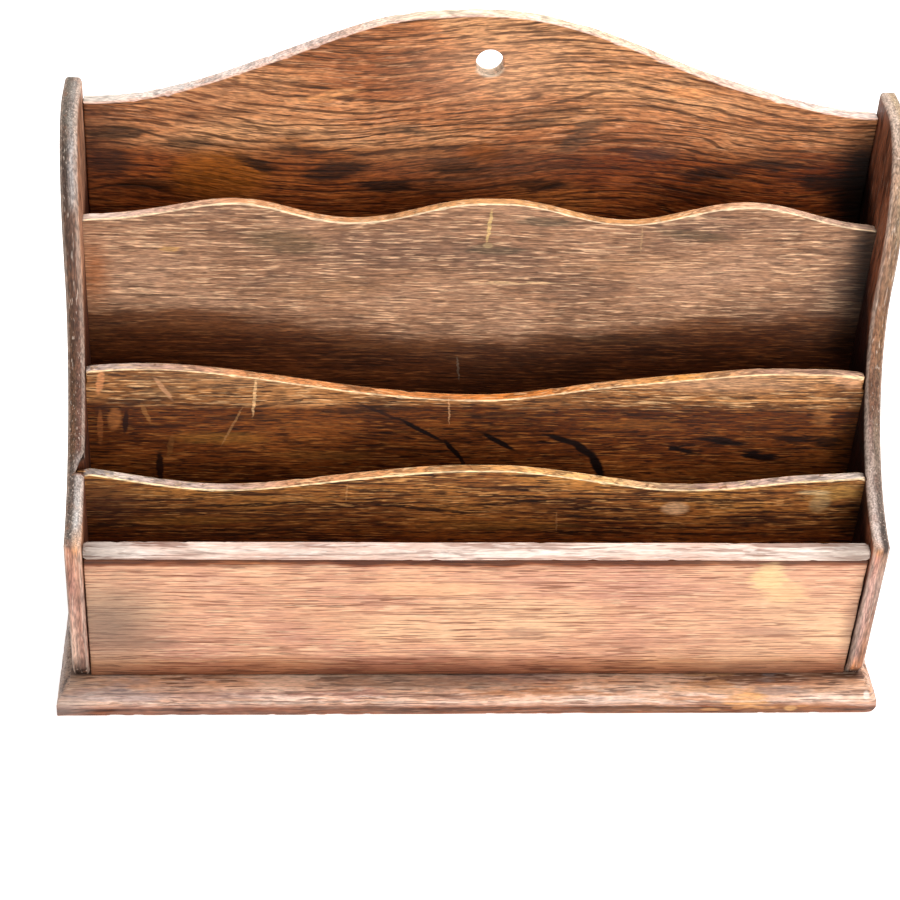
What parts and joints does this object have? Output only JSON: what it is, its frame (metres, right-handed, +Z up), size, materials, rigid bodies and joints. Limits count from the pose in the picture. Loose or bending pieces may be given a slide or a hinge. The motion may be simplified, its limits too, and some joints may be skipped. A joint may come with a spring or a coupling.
{
  "type": "letter rack",
  "caption": "Wooden letter rack with upright pockets behind a low front panel, wavy dividers, S-curved sides, a moulded base and a round hole for hanging.",
  "frame": {"origin": "middle of the base's underside, on the table", "axes": "+X to the viewer's right, +Y towards the back panel and the wall, +Z up; the front faces -Y"},
  "size_m": [0.325, 0.1118, 0.25],
  "materials": {
    "back_oak": "worn stained oak",
    "side_oak": "worn stained oak",
    "divider_oak": "worn stained oak",
    "front_oak": "worn stained oak",
    "rail_oak": "worn stained oak",
    "base_oak": "worn stained oak",
    "steel": "dull steel"
  },
  "bodies": {
    "root": {"back_panel": "back_oak", "left_side": "side_oak", "right_side": "side_oak", "rear_divider": "divider_oak", "middle_divider": "divider_oak", "front_divider": "divider_oak", "front_panel": "front_oak", "front_rail": "rail_oak", "base_board": "base_oak", "base_screw_1": "steel", "base_screw_2": "steel", "base_screw_3": "steel", "base_screw_4": "steel", "base_screw_5": "steel", "base_screw_6": "steel", "panel_pin_1": "steel", "panel_pin_2": "steel", "panel_pin_3": "steel", "panel_pin_4": "steel", "panel_pin_5": "steel", "panel_pin_6": "steel", "panel_pin_7": "steel", "panel_pin_8": "steel", "panel_pin_9": "steel", "panel_pin_10": "steel", "panel_pin_11": "steel", "panel_pin_12": "steel", "panel_pin_13": "steel"}
  },
  "joints": []
}
